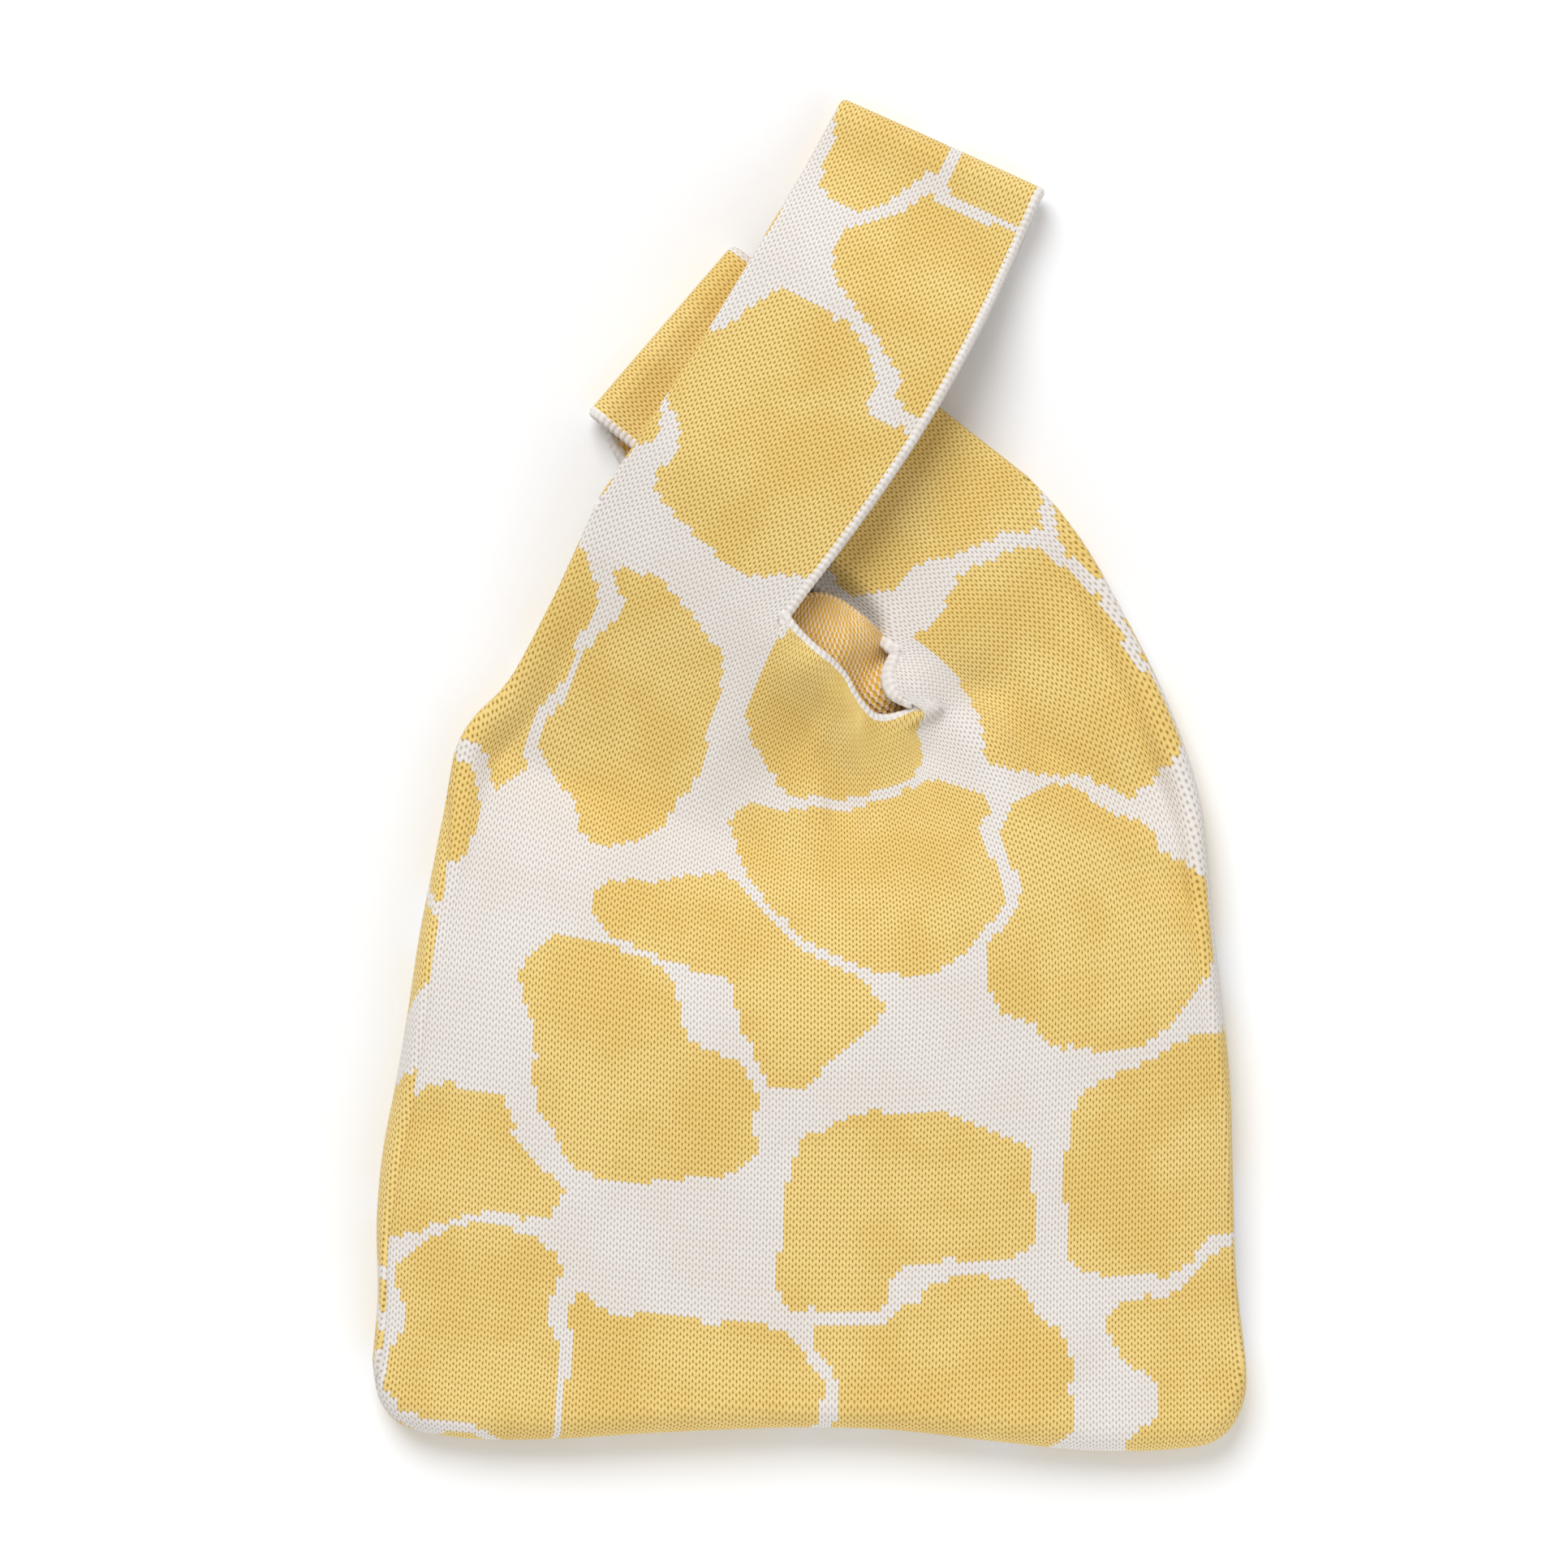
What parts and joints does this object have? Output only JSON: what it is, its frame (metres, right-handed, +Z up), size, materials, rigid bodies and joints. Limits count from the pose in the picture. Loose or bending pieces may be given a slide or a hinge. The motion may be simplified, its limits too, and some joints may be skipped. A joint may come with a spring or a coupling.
{
  "type": "japanese knot bag",
  "caption": "Soft knitted knot bag lying flat: a puffed pouch with a long and a short handle loop, the long loop laid over the short one.",
  "frame": {"origin": "middle of the bag's outline, on the surface that its back lies on", "axes": "+X to the right seen from the front, +Y from the base towards the handles, +Z up out of the front panel"},
  "size_m": [0.2266, 0.3516, 0.0354],
  "materials": {
    "knit": "two-colour double knit, matt",
    "edging": "off-white knitted edge, matt",
    "seam": "linked yarn seam, matt"
  },
  "bodies": {
    "pouch": {"front_panel": "knit", "back_panel": "knit", "front_neck_edging": "edging", "back_neck_edging": "edging", "left_side_seam": "seam", "right_side_seam": "seam", "base_seam": "seam"},
    "long_handle": {"long_handle_front": "knit", "long_handle_back": "knit", "long_handle_seam": "seam", "long_handle_edging": "edging"},
    "short_handle": {"short_handle_front": "knit", "short_handle_back": "knit", "short_handle_seam": "seam", "short_handle_edging": "edging"}
  },
  "joints": [
    {"name": "long_handle_fold", "type": "hinge", "parent": "pouch", "child": "long_handle", "pos_m": [-0.0047, 0.042, 0.023], "axis": [0.8572, -0.515, 0], "range_deg": [0, 150]},
    {"name": "short_handle_fold", "type": "hinge", "parent": "pouch", "child": "short_handle", "pos_m": [0.0209, 0.0324, 0], "axis": [0.6198, 0.7848, 0], "range_deg": [-150, 0]}
  ]
}
